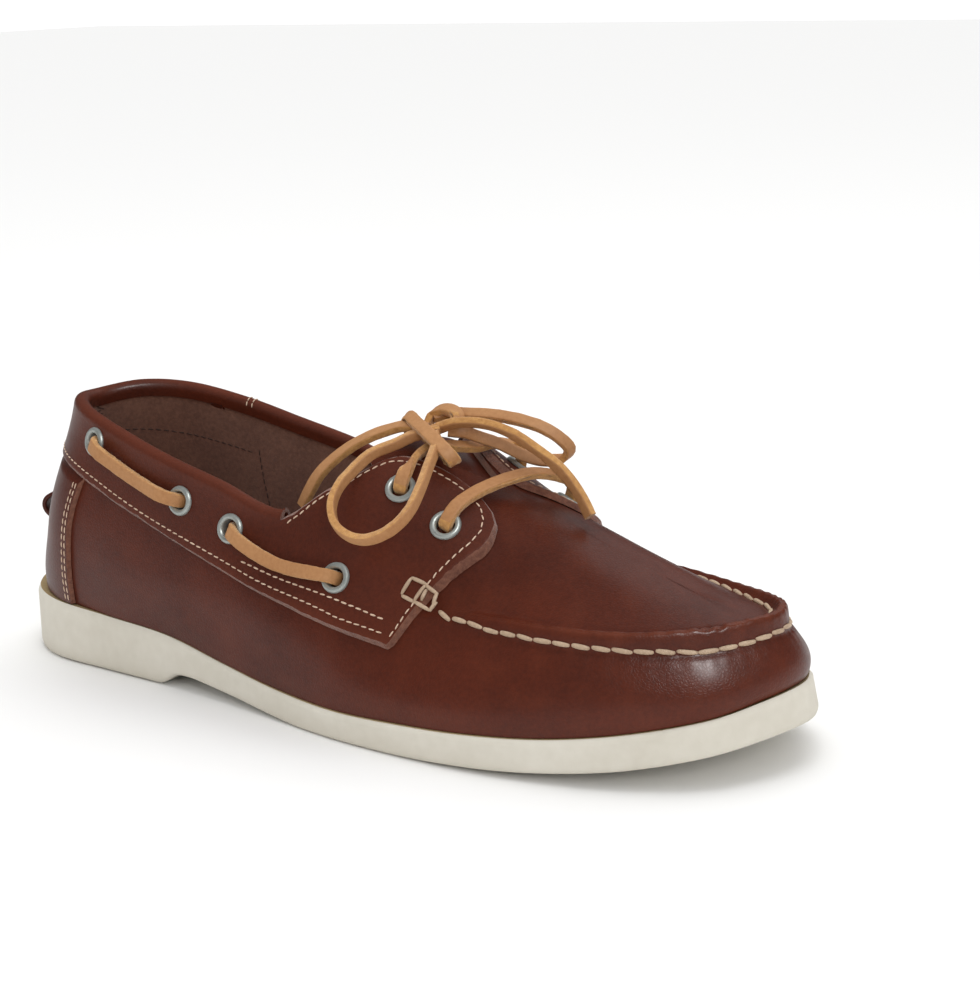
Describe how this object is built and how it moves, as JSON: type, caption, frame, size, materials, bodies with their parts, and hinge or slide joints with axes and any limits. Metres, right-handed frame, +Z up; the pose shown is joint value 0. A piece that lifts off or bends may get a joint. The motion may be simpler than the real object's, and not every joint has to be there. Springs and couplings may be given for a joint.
{
  "type": "boat shoe",
  "caption": "Low leather boat shoe with a hand-sewn moccasin toe, a leather lace run through side eyelets and tied in a bow, and a pale rubber sole.",
  "frame": {"origin": "on the floor under the middle of the whole shoe", "axes": "+X to the toe, +Y to the inner side of the foot, +Z up; the sole stands on z = 0"},
  "size_m": [0.3038, 0.103, 0.0938],
  "materials": {
    "upper_leather": "smooth waxed mahogany leather with a soft shine",
    "insole_leather": "matt brown suede",
    "sole_rubber": "matt off-white rubber",
    "lace_leather": "natural tan leather, matt",
    "eyelet_metal": "matt grey metal"
  },
  "bodies": {
    "root": {"outsole": "sole_rubber", "insole": "insole_leather", "upper": "upper_leather", "tongue": "upper_leather", "saddle": "upper_leather", "heel_counter": "upper_leather", "heel_loop": "upper_leather", "eyelet_outer_side_1": "eyelet_metal", "eyelet_outer_side_2": "eyelet_metal", "eyelet_outer_side_3": "eyelet_metal", "eyelet_outer_side_4": "eyelet_metal", "eyelet_outer_throat_1": "eyelet_metal", "eyelet_outer_throat_2": "eyelet_metal", "eyelet_inner_side_1": "eyelet_metal", "eyelet_inner_side_2": "eyelet_metal", "eyelet_inner_side_3": "eyelet_metal", "eyelet_inner_side_4": "eyelet_metal", "eyelet_inner_throat_1": "eyelet_metal", "eyelet_inner_throat_2": "eyelet_metal", "lace_outer_rear": "lace_leather", "lace_outer_front": "lace_leather", "lace_inner_rear": "lace_leather", "lace_inner_front": "lace_leather", "lace_crossing_front": "lace_leather", "lace_crossing_rear": "lace_leather", "bow_knot": "lace_leather", "bow_loop_outer": "lace_leather", "bow_loop_inner": "lace_leather", "bow_end_outer": "lace_leather", "bow_end_inner": "lace_leather"}
  },
  "joints": []
}
